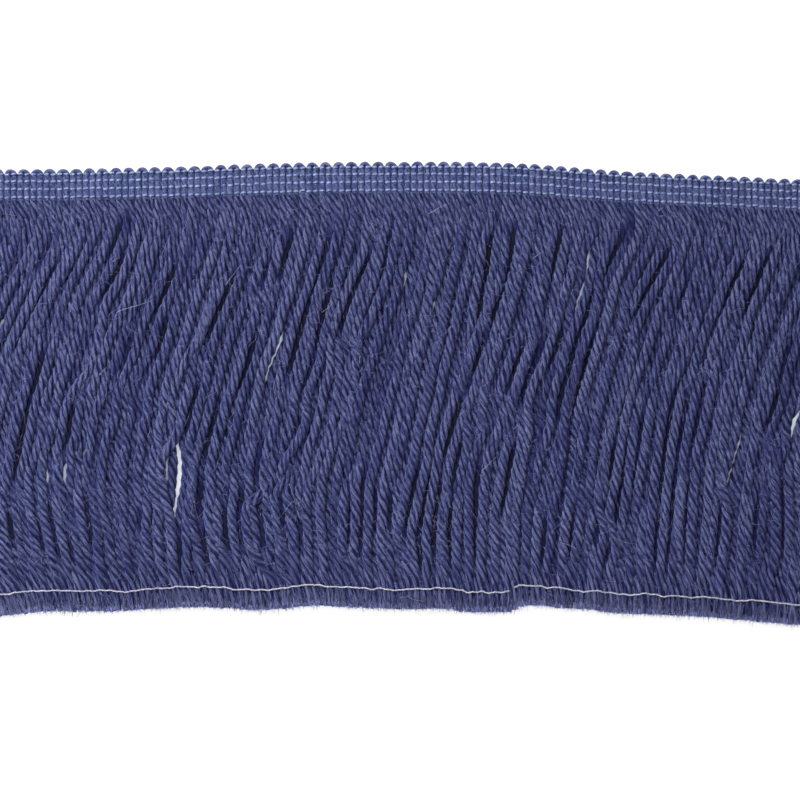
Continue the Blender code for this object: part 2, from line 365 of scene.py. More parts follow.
# Holding thread: its line over the strands, in millimetres
THREAD_LINE = [Place(*row) for row in (
    (-107.0, -45.3), (-90.0, -45.0), (-88.3, -44.9), (-86.3, -44.5), (-81.4, -44.3),
    (-77.4, -44.1), (-69.9, -44.3), (-65.3, -44.1), (-62.2, -44.5), (-60.4, -44.3),
    (-56.7, -43.7), (-51.5, -43.6), (-49.8, -43.2), (-45.4, -43.4), (-44.5, -43.2),
    (-41.7, -43.4), (-39.6, -43.3), (-37.1, -44.1), (-35.6, -43.9), (-29.3, -44.0),
    (-26.4, -43.6), (-21.6, -42.9), (-18.7, -42.8), (-16.0, -43.3), (-8.5, -43.5),
    (-6.5, -43.9), (-4.5, -43.6), (-1.4, -44.1), (4.1, -43.7), (5.8, -43.9),
    (7.5, -43.6), (10.7, -43.6), (13.9, -44.0), (15.3, -44.6), (18.4, -44.3),
    (19.3, -44.7), (24.5, -44.4), (25.6, -43.5), (27.2, -42.8), (28.6, -43.1),
    (30.6, -43.0), (33.2, -43.5), (35.8, -43.4), (39.2, -44.1), (42.4, -44.5),
    (43.3, -44.1), (48.7, -44.8), (52.4, -45.2), (54.5, -44.8), (57.5, -45.0),
    (59.5, -45.6), (61.3, -45.2), (66.0, -45.8), (68.0, -45.5), (70.0, -45.7),
    (73.4, -46.1), (76.3, -46.5), (79.9, -46.3), (89.5, -47.4), (99.0, -47.9),
)]

# How far it bends and kinks sideways, how near the strands are that carry it, how high it lies
# over their tops, and how unevenly
BENDS = 0.04 * MM
KINKS = 0.07 * MM
THREAD_NEAR = 1.6 * MM
THREAD_LIFT = 0.10 * MM
THREAD_WAVES = 0.05 * MM

# Where it dips between two of them, how deep and how wide
DIP_AT = 25.2 * MM
DIP_DEPTH = 1.2 * MM
DIP_WIDTH = 0.5 * MM

# Where it starts and ends along the trim, and the distance between its points
THREAD_START = -107.0 * MM
THREAD_END = 91.0 * MM
THREAD_STEP = 0.3 * MM

# Loose fibres
FUZZ = 3000
FUZZ_RADIUS = 0.042 * MM
FUZZ_LENGTH = (0.9 * MM, 3.0 * MM)
LINT_RADIUS = 0.05 * MM
HAIR_COLOUR = (0.29, 0.31, 0.60)
# The fibres that stand out of the tips are lighter than the other hairs: painted light at the tips
TIP_HAIR_COLOUR = (0.34, 0.38, 0.78)
LINT_COLOUR = (0.52, 0.54, 0.68)

# How low a hair may lie, how high above its strand's top, and the height that all may reach
HAIR_LOW = 0.1 * MM
HAIR_ABOVE = 0.3 * MM
HAIR_FREE = 2.0 * MM

# Fibres at the opened ends of the strands: how many, their radius, between which shares of the
# fall they start, how far past the tips they end, how far they stray, and how uneven they look
TipHair = namedtuple("TipHair", "name count radius first last least most stray unevenness")
TIP_HAIRS = (
    TipHair("tip_fibres", 3200, 0.08 * MM, 0.955, 0.985, -0.3 * MM, 0.2 * MM, 0.2, 0.36),
    TipHair("tip_fuzz", 3900, 0.055 * MM, 0.985, 0.9995, 0.0 * MM, 0.5 * MM, 0.35, 0.15),
)

# Pale fibres caught on the strands: where each starts, its length, its direction from the
# trim's length and how much it curls, in millimetres and degrees
Fibre = namedtuple("Fibre", "x y length angle curl")
LINT = [Fibre(*row) for row in (
    (58.0, 41.2, 1.9, 38, 0.05), (58.4, 40.1, 1.2, 12, 0.05), (72.4, 37.0, 1.5, 62, 0.1),
    (-64.7, 29.8, 1.7, 36, 0.1), (-39.2, 24.6, 5.0, 54, 0.05), (-15.6, -26.6, 2.4, -86, 0.05),
    (18.4, -17.1, 4.7, 42, 0.05), (10.8, 32.8, 2.6, 70, 0.3), (-22.8, 45.4, 2.0, 40, 0.3),
    (-25.0, -20.1, 5.2, -66, 0.35), (-23.8, -24.2, 2.6, 200, 0.5), (-22.6, -25.2, 2.2, 120, 0.5),
    (64.0, 12.0, 3.0, -85, 0.3), (87.6, 18.4, 3.4, -70, 0.3), (-9.0, 7.0, 4.0, 75, 0.3),
    (31.9, 7.6, 8.6, -88, 0.15), (36.0, -33.3, 4.8, -15, 0.2), (6.3, 40.6, 5.8, 32, 0.1),
    (29.9, 30.6, 4.0, 45, 0.3), (-63.6, 18.5, 6.0, 20, 0.2), (-67.6, 4.4, 3.0, 49, 0.1),
    (-17.5, 18.5, 2.7, 32, 0.1), (-70.0, -30.2, 1.5, 80, 0.05), (-69.3, -12.8, 1.1, 80, 0.05),
    (-64.6, -22.9, 2.3, -65, 0.05), (-79.4, -24.5, 1.0, 88, 0.05), (-56.8, -9.6, 1.6, 68, 0.05),
    (0.0, -45.8, 1.8, 0, 0.3), (1.8, -45.5, 2.6, -40, 0.4),
)]

# Lights: their place and aim, their size, the angle in degrees that they spread by and their
# power, and the even light around them
Light = namedtuple("Light", "name place aim size spread power")
LIGHTS = (
    Light("key", (-0.50, 0.62, 0.72), (-0.065, -0.035, 0), 0.4, 38, 0.545),
    Light("fill", (-0.30, -0.05, 0.8), (0, 0, 0), 0.8, 180, 2.6),
)
STUDIO_LIGHT = 0.28


def smooth(places, values, at):
    """Values at the given places on a smooth line through a column of a table."""
    places, values = np.array(places), np.array(values)
    row = np.arange(len(places))
    before, after = np.maximum(row - 1, 0), np.minimum(row + 1, row[-1])
    slopes = (values[after] - values[before]) / (places[after] - places[before])
    k = np.clip(np.searchsorted(places, at, side="right") - 1, 0, row[-1] - 1)
    step = places[k + 1] - places[k]
    t = (at - places[k]) / step
    ends = values[k] * (1 + 2 * t) * (1 - t) ** 2 + values[k + 1] * (3 - 2 * t) * t ** 2
    return ends + (slopes[k] * t * (1 - t) ** 2 - slopes[k + 1] * (1 - t) * t ** 2) * step


def lie(column, x):
    """One column of the table of sections, read at x."""
    places = [section.x * MM for section in SECTIONS]
    values = [getattr(section, column) * MM for section in SECTIONS]
    return smooth(places, values, x)


def girth(column, shares):
    """One column of the table of girths, read at each share of the fall."""
    values = [getattr(row, column) * MM for row in GIRTHS]
    return np.interp(shares, [row.share for row in GIRTHS], values)


def unit(vectors):
    return vectors / np.linalg.norm(vectors, axis=-1, keepdims=True)


def to_points(x, y, z):
    """Points from their coordinates, each given for every point or alike for several."""
    return np.stack(np.broadcast_arrays(x, y, z), axis=-1)


def rising(values, start, length):
    """0 up to a start, and from there evenly up to 1 over a length."""
    return np.clip((values - start) / length, 0, 1)


def ease(share):
    """A share from 0 to 1 with a soft start and end."""
    return share * share * (3 - 2 * share)


def ripples(rng, across, along, count, strand, share):
    """Smooth random waves over the strands and their length, about -1 to 1."""
    total = 0.0
    for _ in range(count):
        waves_across = rng.uniform(*across)
        waves_along = rng.uniform(*along)
        total = total + np.sin(
            TURN * (waves_across * strand + waves_along * share + rng.random())
        )
    return total / np.sqrt(count)


def along_parting(row, y):
    """How far down a parting each y lies, the parting's middle there, and its width."""
    down = (row.y_top * MM - y) / ((row.y_top - row.y_low) * MM)
    middle = (row.x_top + (row.x_low - row.x_top) * down) * MM
    middle = middle + PARTING_BOW * np.sin(2 * row.x_top) * np.sin(np.pi * np.clip(down, 0, 1))
    within = np.clip((down + PARTING_PAST) / (1 + 2 * PARTING_PAST), 0, 1)
    return down, middle, np.sin(np.pi * within ** 0.7) * row.width * MM


def beside_parting(room, wide, lean):
    """How far from a parting's middle the strands at its sides lie."""
    return (room + PARTING_ROOM * wide) / 2 / lean


def part_strands(along, y, lean, wide):
    """For each open parting: the strand points beside it, their side, its middle and room."""
    openings = []
    for row in OPEN_PARTINGS:
        down, middle, room = along_parting(row, y)
        apart = along - middle
        beside = (down > -PARTING_PAST) & (down < 1 + PARTING_PAST)
        beside = beside & (np.abs(apart) < PARTING_REACH)
        near = np.nonzero(beside)
        mean = np.where(beside, apart, 0).sum(1) / np.maximum(beside.sum(1), 1)
        side = np.where(mean > 0, 1.0, -1.0)[near[0]]
        openings.append((near, side, middle[near], beside_parting(room, wide, lean)[near]))
    return openings


def guide_strands(target, y, lean, wide, layer, free):
    """Lay one strand low under each closed parting, between two that lie on top.

    Gives for each of these strands where it is guided along its length, as far as it is free
    to move there, and to which place.
    """
    guides = []
    beds = []
    claimed = np.zeros(layer.shape)
    for row in CLOSED_PARTINGS:
        _, middle, room = along_parting(row, y)
        within = np.minimum(row.y_top * MM - y, y - row.y_low * MM)
        inside = ease(np.clip(within / GUIDE_RAMP + GUIDE_LEAD, 0, 1)) * free + 1e-6
        apart = np.abs(target - middle) + GUIDED_AWAY * claimed
        bed = np.argmin((apart * inside).sum(1) / inside.sum(1))
        inside = inside[bed]
        beside = beside_parting(room, wide, lean)[bed]
        for side, level in ((-1, 1.0), (0, 0.0), (1, 1.0)):
            layer[bed + side] += inside * (level - layer[bed + side])
            guides.append((bed + side, inside, middle[bed] + side * beside))
        claimed[[bed - 1, bed + 1]] = np.maximum(claimed[[bed - 1, bed + 1]], inside)
        beds.append((bed, inside))
    for bed, inside in beds:
        for partner in ((bed - 1) ^ 1, (bed + 1) ^ 1):
            layer[partner] -= inside * (1 - claimed[partner]) * layer[partner]
    return guides


def parting_shade(along, y, layer):
    """Painted shade on the strands that lie deep in a closed parting: how light they still are."""
    shade = np.ones(along.shape)
    for row in CLOSED_PARTINGS:
        down, middle, _ = along_parting(row, y)
        near = np.clip(1.6 - np.abs(along - middle) / SHADE_FADE, 0, 1)
        from_end = np.minimum(down + PARTING_PAST, 1 + PARTING_PAST - down)
        dark = PARTING_SHADE * min(row.width / WIDE_PARTING, 1)
        shade *= 1 - dark * near * rising(from_end, 0, SHADE_ENDS) * (1 - layer)
    return shade


def close_gaps(along, y, lean, cover, share):
    """Take a share of what neighbours lie too far apart, and spread it over the gaps around."""
    order = np.argsort(along, axis=0)
    placed = np.take_along_axis(along, order, 0)
    level = np.take_along_axis(y, order, 0)
    gap = np.diff(placed, axis=0)
    middle = (placed[1:] + placed[:-1]) / 2
    limit = np.broadcast_to(cover / lean.mean(0), gap.shape)
    for row in OPEN_PARTINGS:
        _, line, room = along_parting(row, level[1:])
        beside = (np.abs(middle - line) < OPEN_NEAR) & (room > 0.01 * MM)
        limit = limit + np.where(beside, room + OPEN_EXTRA, 0)
    number = np.arange(len(gap))
    spread = np.exp(-((number[:, None] - number) / GAP_SPREAD) ** 2)
    spread /= spread.sum(0)
    for _ in range(GAP_ROUNDS):
        excess = np.clip(gap - limit, 0, None)
        gap = gap + spread @ excess - excess
    closed = np.concatenate([placed[:1], placed[:1] + np.cumsum(gap, axis=0)])
    np.put_along_axis(along, order, placed + share * (closed - placed), 0)


def layers(rng, shares):
    """Which layer each strand lies in along its length: 0 on the surface below, 1 on top."""
    pairs = (LEGS + 1) // 2
    swap = rng.uniform(*SWAP_SHARES, (pairs, 2)) + 2.0 * (rng.random((pairs, 2)) > SWAPS)
    first = (rng.random((pairs, 1)) > 0.5) * 1.0
    turned = 1 / (1 + np.exp(-(shares - swap[:, :, None]) / SWAP_LENGTH))
    upper = first + (1 - 2 * first) * np.abs(turned[:, 0] - turned[:, 1])
    return np.stack([upper, 1 - upper], axis=1).reshape(2 * pairs, -1)[:LEGS]


def hang_strands(rng, shares):
    """How each strand would lie alone: x at its root, its drift from there, its y and lean."""
    x = TRIM_START + (np.arange(LEGS) + 0.5) * COURSE
    drifts = np.stack(
        [0 * x, 0 * x] + [lie(name, x) for name in ("quarter", "half", "late", "tip")]
    )
    bend_at = shares + rng.normal(0, BEND_SPREAD, (LEGS, 1)) * np.exp(-(shares / 0.15) ** 2)
    drift = np.stack([smooth(DRIFT_SHARES, drifts[:, leg], bend_at[leg]) for leg in range(LEGS)])
    drift[:, shares < 0] = 0.0
    edge = lie("edge", x)
    tip = smooth([row.x * MM for row in TIPS], [row.y * MM for row in TIPS], x + drift[:, -1])
    y = edge[:, None] - shares * (edge - tip)[:, None]
    lean = np.cos(np.arctan(np.gradient(drift, axis=1) / np.gradient(y, axis=1)))
    return x[:, None], drift, y, lean


def push_apart(along, height, lean, wide, high):
    """Move strands that share the same space sideways and over each other."""
    for reach in (1, 2, 3, 4):
        apart = (along[reach:] - along[:-reach]) * lean[reach:] / wide
        above = (height[reach:] - height[:-reach]) / (NESTING * high)
        distance = np.sqrt(apart ** 2 + above ** 2) + 1e-6
        push = np.clip(1 - distance, 0, None) * PUSH / distance
        move = push * apart * wide
        lift = push * above * high * LIFT
        along[reach:] += move
        along[:-reach] -= move
        height[reach:] += lift
        height[:-reach] -= lift


def settle_strands():
    """Middle lines of all strands, lying in two layers that close up at root and tips.

    Gives with them the share of the fall at each ring, and each strand's painted shade there.
    """
    rng = np.random.default_rng(11)
    shares = np.linspace(START_SHARE, 1.0, RINGS)
    strand = np.arange(LEGS)[:, None]
    x, drift, y, lean = hang_strands(rng, shares)
    wide = girth("contact", shares)
    high = girth("height", shares)
    cover = np.maximum(COVER_SHARE * girth("width", shares), COVER_LEAST)
    parted = rising(shares, LAYERS_PART, 0.1) * np.clip((LAYERS_MEET - shares) / 0.08, 0, 1)
    parted = ease(parted)
    envelope = np.sin(np.pi * np.clip(shares, 0, 1)) ** 0.6

    wander = sum(
        wave.size * ripples(rng, wave.across, wave.down, wave.count, strand, shares)
        for wave in WANDERING
    )
    layer = layers(rng, shares)
    crossing = ripples(rng, (0.02, 0.12), (-1.6, 1.6), 7, strand, shares)
    target = x + drift + wander * MM * envelope
    target = target + (2 * layer - 1) * CROSSING * crossing * parted
    guides = guide_strands(target, y, lean, wide, layer, rising(shares, 0.04, 0.08))
    openings = part_strands(target, y, lean, wide)
    lowest = LOWEST_MIDDLE * high
    rest = lowest + parted * layer * LAYER_RISE
    uneven = ripples(rng, (0.1, 0.7), (-2, 2), 9, strand, shares)
    rest = rest + HEIGHT_WANDERING * envelope * uneven

    along, height = target.copy(), rest.copy()
    for step in range(SETTLING + CLOSING):
        height += HEIGHT_RETURN * (rest - height)
        along += PLACE_RETURN * (target - along)
        if step < SETTLING:
            push_apart(along, height, lean, wide, high)
        height = np.maximum(height, lowest)
        for near, side, middle, room in openings:
            short = room - side * (along[near] - middle)
            along[near] += side * np.clip(short, 0, OPENING_STEP)
        for guided, inside, place in guides:
            along[guided] += GUIDE_PULL * inside * (place - along[guided])
        close_gaps(along, y, lean, cover, GAP_PULL if step < SETTLING else 1.0)
        bend = along - x - drift
        for values in (bend, height):
            straight = values[:, 2:] + values[:, :-2] - 2 * values[:, 1:-1]
            values[:, 1:-1] += STIFFNESS * straight
        along = x + drift + bend
        along[:, :2] = x
        height[:, :2] = HEADING_MIDDLE

    # Painted shade on the lower layer, uneven in clouds, and in the closed partings
    clouds = 0.5 + 0.5 * np.tanh(ripples(rng, (0.02, 0.2), (-1.5, 1.5), 9, strand, shares))
    least, most = DEEP_SHADE
    shade = 1 - parted * (1 - layer) * (least + (most - least) * clouds)
    return to_points(along, y, height), shares, shade * parting_shade(along, y, layer)


def add_tubes(name, plies, material, node):
    """One mesh of closed tubes, their points given as (tube, ring, side, xyz)."""
    tubes, length, sides, _ = plies.rings.shape
    index = np.arange(tubes * length * sides).reshape(tubes, length, sides)
    near, far = index[:, :-1], index[:, 1:]
    corners = (near, np.roll(near, -1, 2), np.roll(far, -1, 2), far)
    quads = np.stack(corners, axis=-1).reshape(-1, 4)
    caps = np.concatenate([index[:, 0, ::-1], index[:, -1]])
    loops = np.concatenate([quads.reshape(-1), caps.reshape(-1)])
    sizes = np.concatenate([np.full(len(quads), 4), np.full(len(caps), sides)])
    starts = np.concatenate([[0], np.cumsum(sizes)[:-1]])

    # Nothing reaches below the surface that the trim lies on
    points = np.maximum(plies.rings, (-np.inf, -np.inf, 0))
    mesh = bpy.data.meshes.new(name)
    mesh.vertices.add(index.size)
    mesh.vertices.foreach_set("co", points.reshape(-1).astype(np.float32))
    mesh.loops.add(len(loops))
    mesh.loops.foreach_set("vertex_index", loops.astype(np.int32))
    mesh.polygons.add(len(sizes))
    mesh.polygons.foreach_set("loop_start", starts.astype(np.int32))
    mesh.update(calc_edges=True)
    mesh.shade_smooth()
    for kind, field, name_of_value in (
        ("FLOAT", "tone", "value"),
        ("FLOAT", "ridge", "value"),
        ("FLOAT_VECTOR", "grain", "vector"),
    ):
        values = np.ascontiguousarray(getattr(plies, field), dtype=np.float32)
        attribute = mesh.attributes.new(field, kind, "POINT")
        attribute.data.foreach_set(name_of_value, values.reshape(-1))
    mesh.materials.append(material)
    piece = bpy.data.objects.new(name, mesh)
    bpy.context.scene.collection.objects.link(piece)
    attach(piece, "root")
    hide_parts(node)


def frames(lines):
    """Forward, sideways and upward directions along lines of points."""
    forward = unit(np.gradient(lines, axis=-2))
    side = unit(np.cross(np.array([0.0, 0.0, 1.0]), forward))
    return forward, side, np.cross(forward, side)


# Tube points, and what the materials read at each: the ply's tone, with any painted shade and
# painted light in it, the place along and around its fibres, and how far out the point lies, from
# -1 in the yarn to 1 outside, which sets the wool's painted crease shade
Plies = namedtuple("Plies", "rings tone grain ridge")


def thickness(yarn):
    """Outer diameter of a free yarn."""
    return 2 * (yarn.radius + yarn.offset)


def twist_yarns(lines, yarn, rng, twisting, squared):
    """How far along each yarn its rings lie, its twist there, its first angle and its turn."""
    steps = np.linalg.norm(np.diff(lines, axis=1), axis=-1)
    run = np.concatenate([np.zeros((len(lines), 1)), np.cumsum(steps, axis=1)], axis=1)
    run = run[:, None, :, None]
    start = TURN * rng.random((len(lines), 1, 1, 1))
    evenness = 1 + TURN_SPREAD * rng.standard_normal((len(lines), 1, 1, 1))
    twist = TURN / (yarn.turn * evenness) * np.reshape(twisting * np.ones(lines.shape[1]), (-1, 1))
    turned = np.cumsum(twist * np.diff(run, axis=2, prepend=0), axis=2)
    if squared:
        start = TURN / 8 + 0.05 * start + turned[:, :, -1:]
    return run, twist, start, turned


def ply_rings(lines, yarn, width, height, rng, twisting=1.0, squared=False):
    """The plies of each yarn whose middle line is given, with their tone and grain.

    Width and height are given for each ring, alike or not for all the yarns. The twist is
    worked out in a round yarn, which is then pressed to width and height. The plies of a
    squared yarn end two by two beside and over each other.
    """
    forward, side, up = (v[:, None, :, None] for v in frames(lines))
    run, twist, start, turned = twist_yarns(lines, yarn, rng, twisting, squared)
    ply = np.arange(yarn.plies)[None, :, None, None]
    number = np.arange(len(lines))[:, None, None, None] * yarn.plies + ply
    swell, shift, rise = (
        ripples(rng, (0.3, 1.7), down, 6, number, run / yarn.turn)
        for down in ((0.5, 2.5), (0.3, 1.2), (0.3, 1.5))
    )
    angle = start + TURN * ply / yarn.plies - turned + PLY_STRAY * shift
    around = TURN * np.arange(yarn.sides) / yarn.sides
    slope = yarn.offset * twist
    stretch = np.sqrt(1 + slope ** 2)
    radius = yarn.radius * (1 + PLY_SPREAD * swell)
    offset = yarn.offset * (1 + PLY_SPREAD * rise)
    out, turn = np.cos(around), np.sin(around)
    across = offset * np.cos(angle) + radius * (
        out * np.cos(angle) - turn * np.sin(angle) / stretch
    )
    raised = offset * np.sin(angle) + radius * (
        out * np.sin(angle) + turn * np.cos(angle) / stretch
    )
    ahead = radius * turn * slope / stretch
    across = across * (width / thickness(yarn))[..., None]
    raised = raised * (height / thickness(yarn))[..., None]
    points = (
        lines[:, None, :, None]
        + across[..., None] * side
        + raised[..., None] * up
        + ahead[..., None] * forward
    )
    shape = points.shape[:-1]
    tone = rng.standard_normal((len(lines), 1, 1, 1))
    tone = 1 + YARN_TONE * tone
    tone = tone + PLY_TONE * rng.standard_normal((len(lines), yarn.plies, 1, 1))
    grain = to_points(radius * out, radius * turn, run * stretch) / MM
    grain = grain + 50 * rng.random((len(lines), yarn.plies, 1, 1, 3))
    tubes = (len(lines) * yarn.plies,) + shape[2:]
    return Plies(
        points.reshape(tubes + (3,)),
        np.broadcast_to(tone, shape).reshape(tubes),
        grain.reshape(tubes + (3,)),
        np.broadcast_to(out, shape).reshape(tubes),
    )


def new_material(name, roughness):
    """A material with its nodes, its links and its shader."""
    material = bpy.data.materials.new(name)
    material.use_nodes = True
    nodes, links = material.node_tree.nodes, material.node_tree.links
    shader = nodes["Principled BSDF"]
    shader.inputs["Roughness"].default_value = roughness
    return material, nodes, links, shader


def colour_by(material, level, stops, socket):
    """Give a socket the colour that a level has between the stops of a ramp."""
    ramp = material.node_tree.nodes.new("ShaderNodeValToRGB")
    while len(ramp.color_ramp.elements) < len(stops):
        ramp.color_ramp.elements.new(0.5)
    for element, (place, colour) in zip(ramp.color_ramp.elements, stops):
        element.position = place
        element.color = (*colour, 1.0)
    material.node_tree.links.new(level, ramp.inputs["Fac"])
    material.node_tree.links.new(ramp.outputs["Color"], socket)


def add_bump(material, shader, height, strength, distance):
    """Raise a shader's surface by the height that a socket gives."""
    bump = material.node_tree.nodes.new("ShaderNodeBump")
    bump.inputs["Strength"].default_value = strength
    bump.inputs["Distance"].default_value = distance
    material.node_tree.links.new(height, bump.inputs["Height"])
    material.node_tree.links.new(bump.outputs["Normal"], shader.inputs["Normal"])


def read_attribute(nodes, name, output="Fac"):
    node = nodes.new("ShaderNodeAttribute")
    node.attribute_name = name
    return node.outputs[output]


def calculate(material, value, *steps):
    """Take a value through steps of an operation and a second value, sockets or numbers."""
    for operation, second in steps:
        node = material.node_tree.nodes.new("ShaderNodeMath")
        node.operation = operation
        for socket, given in zip(node.inputs, (value, second)):
            if isinstance(given, (int, float)):
                socket.default_value = given
            else:
                material.node_tree.links.new(given, socket)
        value = node.outputs[0]
    return value


def yarn_material(name, stops, fineness, sheen):
    """Spun yarn: fibres along the ply, painted shade in the creases, and tones that differ from
    ply to ply.
    """
    material, nodes, links, shader = new_material(name, 0.9)
    shader.inputs["Specular IOR Level"].default_value = 0.2
    shader.inputs["Sheen Weight"].default_value = sheen
    shader.inputs["Sheen Roughness"].default_value = 0.4
    shader.inputs["Sheen Tint"].default_value = (0.55, 0.60, 1.0, 1.0)

    stretch = nodes.new("ShaderNodeVectorMath")
    stretch.operation = "MULTIPLY"
    stretch.inputs[1].default_value = fineness
    links.new(read_attribute(nodes, "grain", "Vector"), stretch.inputs[0])
    fibres = nodes.new("ShaderNodeTexNoise")
    fibres.inputs["Scale"].default_value = 1.0
    fibres.inputs["Detail"].default_value = 4.0
    fibres.inputs["Roughness"].default_value = 0.7
    links.new(stretch.outputs[0], fibres.inputs["Vector"])

    # Painted shade in the creases, deepest where the ply turns inward
    depth = calculate(material, 1.0, ("SUBTRACT", read_attribute(nodes, "ridge")))
    level = calculate(
        material, fibres.outputs["Fac"],
        ("MULTIPLY", FIBRE_CONTRAST),
        ("ADD", CREST_LEVEL - 0.5 * FIBRE_CONTRAST),
        ("SUBTRACT", calculate(material, depth, ("MULTIPLY", depth), ("MULTIPLY", CREASE_SHADE))),
        ("MAXIMUM", CREASE_LEVEL),
        ("MULTIPLY", read_attribute(nodes, "tone")),
    )
    colour_by(material, level, stops, shader.inputs["Base Color"])
    add_bump(material, shader, fibres.outputs["Fac"], 0.8, 0.08 * MM)
    return material


def plain_material(name, colour):
    """One dull, even colour."""
    material, _, _, shader = new_material(name, 0.8)
    shader.inputs["Base Color"].default_value = (*colour, 1.0)
    return material


def thread_material():
    """Fine smooth binding thread: a slight gloss, twist lines, and painted shade that comes with
    the tone.
    """
    material, nodes, links, shader = new_material("binding", 0.38)
    shader.inputs["Specular IOR Level"].default_value = 0.6
    grain = nodes.new("ShaderNodeSeparateXYZ")
    links.new(read_attribute(nodes, "grain", "Vector"), grain.inputs[0])
    twist = calculate(
        material, grain.outputs["Z"],
        ("MULTIPLY", TURN / BINDING_TURN), ("ADD", grain.outputs["X"]), ("SINE", 0.0),
    )
    tone = read_attribute(nodes, "tone")
    level = calculate(material, twist, ("MULTIPLY", 0.06), ("ADD", tone))
    colour_by(material, level, BINDING_COLOURS, shader.inputs["Base Color"])
    add_bump(material, shader, twist, 0.5, 0.04 * MM)
    return material


def tip_light(shares):
    """Painted light: how much lighter the wool is painted where it thins out at the tips."""
    return 1 + TIP_LIGHT * rising(shares, TIP_LIGHT_FROM, 1 - TIP_LIGHT_FROM)


def open_tips(rings, shares, rng):
    """End the plies at uneven lengths, lean them sideways, and taper their very ends."""
    longer = TIP_SPREAD * rng.standard_normal((len(rings), 1, 1))
    rings[..., 1] += longer * rising(shares, 0.97, 0.03)[:, None]
    leaning = TIP_LEAN * rng.standard_normal((len(rings), 1, 1))
    rings[..., 0] += leaning * rising(shares, 0.95, 0.05)[:, None]
    ends = rings[:, -1:]
    rings[:, -1:] = ends + END_TAPER * (ends.mean(2, keepdims=True) - ends)


def make_strands(lines, shares, shade, material):
    """The strands, in pieces of about 35 strands each."""
    rng = np.random.default_rng(5)
    plump = np.random.default_rng(6).uniform(*PLUMPNESS, (LEGS, 1, 1))
    tuft = 1 + TUFT_TONE * np.random.default_rng(7).standard_normal((LEGS, 1))
    height = girth("height", shares)
    opening = rising(shares, PLIES_OPEN, 0.02)
    easing = np.interp(shares, TWIST_EASES, (0, 1)) ** 1.4
    twisting = 1 - (1 - TWIST_LEFT) * easing
    for number, group in enumerate(np.array_split(np.arange(LEGS), 4), start=1):
        width = girth("width", shares) * plump[group]
        plies = ply_rings(lines[group], WOOL, width, height, rng, twisting, squared=True)
        open_tips(plies.rings, shares, rng)
        # Painted shade from the layers and partings, tones that differ from tuft to tuft, and
        # painted light at the tips
        light = shade[group] * tuft[group] ** opening * tip_light(shares)
        tone = plies.tone * np.repeat(light, WOOL.plies, axis=0)[:, :, None]
        creases = (1 - TIP_CREASES * opening)[:, None]
        plies = plies._replace(tone=tone, ridge=1 - (1 - plies.ridge) * creases)
        add_tubes(f"strands_{number}", plies, material, "fringe")


def make_heading_yarn(material):
    """The yarn in the heading: up one leg, round the picot and down the next leg."""
    rng = np.random.default_rng(3)
    rise = np.linspace(LEG_FOOT, PICOT_CENTRE, 13)
    bend = np.linspace(0, np.pi, 11)[1:-1]
    foot = COURSE / 2 + 0 * rise
    foot[-1] = PICOT_HALF
    across = np.concatenate([-foot, -PICOT_HALF * np.cos(bend), foot[::-1]])
    height = np.concatenate([rise, PICOT_CENTRE + PICOT_RISE * np.sin(bend), rise[::-1]])
    middle = TRIM_START + (2 * np.arange(PICOTS)[:, None] + 1) * COURSE
    x = middle + across
    y = lie("edge", x) + height
    arc = rising(height, 5.2 * MM, 1.0 * MM)
    tie = np.min(np.abs(height[:, None] - np.array(CHAIN_LINES) * MM), axis=1)
    waist = np.exp(-(tie / (0.35 * MM)) ** 2)
    z = HEADING_MIDDLE - 0.1 * MM * arc + 0.06 * MM * rng.standard_normal((PICOTS, 1))
    width = (LEG_SIZE[0] - PICOT_LOSS[0] * arc) * MM
    tall = (LEG_SIZE[1] - TIED_LOSS * waist - PICOT_LOSS[1] * arc) * MM
    plies = ply_rings(to_points(x, y, z), LEG_WOOL, width, tall, rng)
    add_tubes("heading_yarn", shade_heading(plies), material, "heading")


def shade_heading(plies):
    """The heading yarn's tone: painted shade in slits between legs, inside picots, softer in
    creases.
    """
    x, y = plies.rings[..., 0], plies.rings[..., 1]
    up = y - lie("edge", x)
    courses = (x - TRIM_START) / COURSE
    slit = np.abs((courses % 1.0) - 0.5) * 2
    across = (courses % 2.0 - 1.0) * COURSE
    above = (up - PICOT_CENTRE) / (PICOT_RISE + 0.5 * MM)
    reach = np.hypot(across / (PICOT_HALF + 0.5 * MM), above)
    inside = np.clip((0.62 - reach) / 0.2, 0, 1) * rising(up, 5.9 * MM, 0.2 * MM)
    slit = np.where(up < 6.0 * MM, slit ** 6, 0)
    tone = HEADING_TONE * plies.tone * (1 - SLIT_SHADE * slit) * (1 - PICOT_SHADE * inside)
    return plies._replace(tone=tone, ridge=0.5 + 0.5 * plies.ridge)


def tube_rings(lines, radius, sides):
    """Rings of points around lines, with a radius for each point, and the angles around."""
    _, side, up = (v[..., None, :] for v in frames(lines))
    around = TURN * np.arange(sides)[:, None] / sides
    return lines[..., None, :] + radius * (np.cos(around) * side + np.sin(around) * up), around


def thread_rings(line, radius, tone):
    """A single tube along a line of points, with what the materials read.

    The radius and tone are one value or a value for each point.
    """
    rings, around = tube_rings(line, np.reshape(radius, (-1, 1, 1)), THREAD_SIDES)
    run = np.concatenate([[0], np.cumsum(np.linalg.norm(np.diff(line, axis=0), axis=-1))])
    grain = to_points(around[:, 0], 0, run[:, None] / MM)
    tone = np.broadcast_to(np.reshape(tone, (-1, 1)), rings.shape[:-1])
    return Plies(rings[None], tone[None], grain[None], np.ones(tone.shape)[None])


